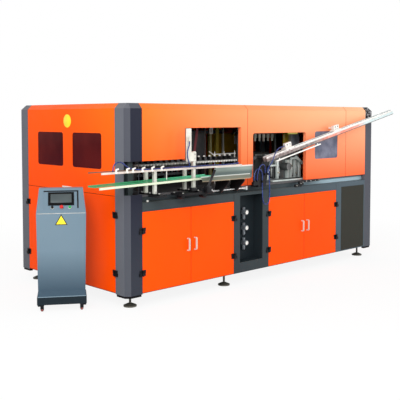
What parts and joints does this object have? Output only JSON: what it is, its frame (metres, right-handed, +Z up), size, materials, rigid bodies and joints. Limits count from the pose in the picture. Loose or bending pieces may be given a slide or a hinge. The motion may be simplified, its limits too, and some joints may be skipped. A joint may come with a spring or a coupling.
{
  "type": "linear stretch blow moulding machine",
  "caption": "Enclosed linear blow moulding machine for bottles: oven loop, gripper bar, clamp with moulds, preform chute, outlet conveyor, cabinet doors and a wheeled operator console.",
  "frame": {"origin": "centre of the underside of the front left levelling foot, on the floor", "axes": "+X to the right along the machine's front, +Y from the front to the rear, +Z up"},
  "size_m": [5.3772, 2.3065, 2.1],
  "materials": {
    "painted_orange": "glossy powder coat",
    "painted_slate": "satin textured powder coat",
    "vent_sheet": "dark punched sheet",
    "nickel_steel": "nickel plated, ground",
    "mould_aluminium": "milled, clear anodised",
    "stainless_sheet": "folded stainless sheet",
    "black_fittings": "moulded, fine grain",
    "guide_rod_steel": "ground bar",
    "tank_steel": "grey paint",
    "spindle_steel": "turned",
    "green_wear_strip": "machined plastic",
    "amber_sheet": "tinted clear sheet",
    "tinted_pane": "dark red tinted sheet",
    "clear_cover": "clear sheet",
    "blue_hose": "extruded hose",
    "painted_grey_blue": "smooth satin paint",
    "screen_glass": "glass front in a dark bezel",
    "castor_plastic": "moulded tread",
    "red_button": "moulded",
    "green_button": "moulded"
  },
  "bodies": {
    "machine": {"front_cover_left": "painted_orange", "front_cover_middle": "painted_orange", "front_cover_right": "painted_orange", "left_end_cover": "painted_orange", "right_end_panel": "painted_orange", "rear_cover": "painted_orange", "rear_lower_panel": "painted_orange", "base_frame": "painted_slate", "front_left_post": "painted_slate", "front_right_post": "painted_slate", "rear_left_post": "painted_slate", "rear_right_post": "painted_slate", "utility_panel": "painted_slate", "vent_panel": "painted_slate", "roof_panel": "painted_slate", "vent_mesh": "vent_sheet", "bed_plate": "nickel_steel", "clamp_frame": "nickel_steel", "transfer_rail": "nickel_steel", "levelling_feet": "nickel_steel", "conveyor_stands": "mould_aluminium", "guide_rails": "mould_aluminium", "preform_chute": "mould_aluminium", "sensor_mast": "mould_aluminium", "bottle_trough": "stainless_sheet", "oven_housing": "stainless_sheet", "hinge_blocks": "black_fittings", "chute_bracket": "black_fittings", "air_regulators": "black_fittings", "guide_rod": "guide_rod_steel", "air_tank": "tank_steel", "spindle_loop": "spindle_steel", "bottle_channel": "green_wear_strip", "amber_guards": "amber_sheet", "window_panes": "tinted_pane", "chute_cover": "clear_cover", "rail_air_hose": "blue_hose", "mast_air_hose": "blue_hose", "chute_air_hose": "blue_hose"},
    "front_door_1": {"front_door_1": "painted_orange"},
    "front_door_2": {"front_door_2": "painted_orange"},
    "front_door_3": {"front_door_3": "painted_orange"},
    "front_door_4": {"front_door_4": "painted_orange"},
    "end_door_front": {"end_door_front": "painted_orange"},
    "end_door_rear": {"end_door_rear": "painted_orange"},
    "front_mould": {"front_mould": "mould_aluminium"},
    "rear_mould": {"rear_mould": "mould_aluminium"},
    "base_mould": {"base_mould": "mould_aluminium"},
    "blow_head": {"blow_head": "nickel_steel"},
    "stretch_beam": {"stretch_beam": "nickel_steel"},
    "gripper_bar": {"gripper_bar": "mould_aluminium"},
    "console": {"console_cabinet": "painted_grey_blue", "touch_screen": "screen_glass"},
    "selector_switch": {"selector_switch": "black_fittings"},
    "stop_button": {"stop_button": "red_button"},
    "start_button": {"start_button": "green_button"},
    "castor_wheel_1": {"castor_wheel_1": "castor_plastic"},
    "castor_wheel_2": {"castor_wheel_2": "castor_plastic"},
    "castor_wheel_3": {"castor_wheel_3": "castor_plastic"},
    "castor_wheel_4": {"castor_wheel_4": "castor_plastic"}
  },
  "joints": [
    {"name": "front_door_1_hinge", "type": "hinge", "parent": "machine", "child": "front_door_1", "pos_m": [0.046, -0.162, 0.585], "axis": [0, 0, -1], "range_deg": [0, 110]},
    {"name": "front_door_2_hinge", "type": "hinge", "parent": "machine", "child": "front_door_2", "pos_m": [1.395, -0.162, 0.585], "axis": [0, 0, 1], "range_deg": [0, 110]},
    {"name": "front_door_3_hinge", "type": "hinge", "parent": "machine", "child": "front_door_3", "pos_m": [2.001, -0.162, 0.585], "axis": [0, 0, -1], "range_deg": [0, 110]},
    {"name": "front_door_4_hinge", "type": "hinge", "parent": "machine", "child": "front_door_4", "pos_m": [3.363, -0.162, 0.585], "axis": [0, 0, 1], "range_deg": [0, 110]},
    {"name": "end_door_front_hinge", "type": "hinge", "parent": "machine", "child": "end_door_front", "pos_m": [-0.162, 0.046, 0.585], "axis": [0, 0, 1], "range_deg": [0, 90]},
    {"name": "end_door_rear_hinge", "type": "hinge", "parent": "machine", "child": "end_door_rear", "pos_m": [-0.162, 1.754, 0.585], "axis": [0, 0, -1], "range_deg": [0, 110]},
    {"name": "console_roll", "type": "slide", "parent": "machine", "child": "console", "axis": [-0.5446, -0.8387, 0], "range_m": [0, 1.2]},
    {"name": "front_mould_slide", "type": "slide", "parent": "machine", "child": "front_mould", "axis": [0, 1, 0], "range_m": [0, 0.0797]},
    {"name": "rear_mould_slide", "type": "slide", "parent": "machine", "child": "rear_mould", "axis": [0, -1, 0], "range_m": [0, 0.0797]},
    {"name": "base_mould_slide", "type": "slide", "parent": "machine", "child": "base_mould", "axis": [0, 0, 1], "range_m": [0, 0.012]},
    {"name": "blow_head_slide", "type": "slide", "parent": "machine", "child": "blow_head", "axis": [0, 0, -1], "range_m": [0, 0.18]},
    {"name": "stretch_beam_slide", "type": "slide", "parent": "blow_head", "child": "stretch_beam", "axis": [0, 0, -1], "range_m": [0, 0.185]},
    {"name": "gripper_bar_slide", "type": "slide", "parent": "machine", "child": "gripper_bar", "axis": [1, 0, 0], "range_m": [0, 0.48]},
    {"name": "selector_turn", "type": "hinge", "parent": "console", "child": "selector_switch", "pos_m": [-0.67617, 0.38856, 1.04832], "axis": [-0.4337, -0.6679, 0.6049], "range_deg": [-45, 45]},
    {"name": "stop_button_press", "type": "slide", "parent": "console", "child": "stop_button", "axis": [0.4337, 0.6679, -0.6049], "range_m": [0, 0.005]},
    {"name": "start_button_press", "type": "slide", "parent": "console", "child": "start_button", "axis": [0.4337, 0.6679, -0.6049], "range_m": [0, 0.005], "stiffness_N_per_m": 1000},
    {"name": "castor_spin_1", "type": "hinge", "parent": "console", "child": "castor_wheel_1", "pos_m": [-0.76925, 0.4472, 0.025], "axis": [0.8387, -0.5446, 0], "continuous": true},
    {"name": "castor_spin_2", "type": "hinge", "parent": "console", "child": "castor_wheel_2", "pos_m": [-0.66468, 0.60822, 0.025], "axis": [0.8387, -0.5446, 0], "continuous": true},
    {"name": "castor_spin_3", "type": "hinge", "parent": "console", "child": "castor_wheel_3", "pos_m": [-0.43882, 0.23261, 0.025], "axis": [0.8387, -0.5446, 0], "continuous": true},
    {"name": "castor_spin_4", "type": "hinge", "parent": "console", "child": "castor_wheel_4", "pos_m": [-0.33425, 0.39363, 0.025], "axis": [0.8387, -0.5446, 0], "continuous": true}
  ],
  "couplings": [
    {"joint": "rear_mould_slide", "follows": "front_mould_slide", "ratio": 1},
    {"joint": "end_door_front_hinge", "follows": "console_roll", "rad_per_m": 1.309},
    {"joint": "castor_spin_1", "follows": "console_roll", "rad_per_m": 40},
    {"joint": "castor_spin_2", "follows": "console_roll", "rad_per_m": 40},
    {"joint": "castor_spin_3", "follows": "console_roll", "rad_per_m": 40},
    {"joint": "castor_spin_4", "follows": "console_roll", "rad_per_m": 40}
  ]
}
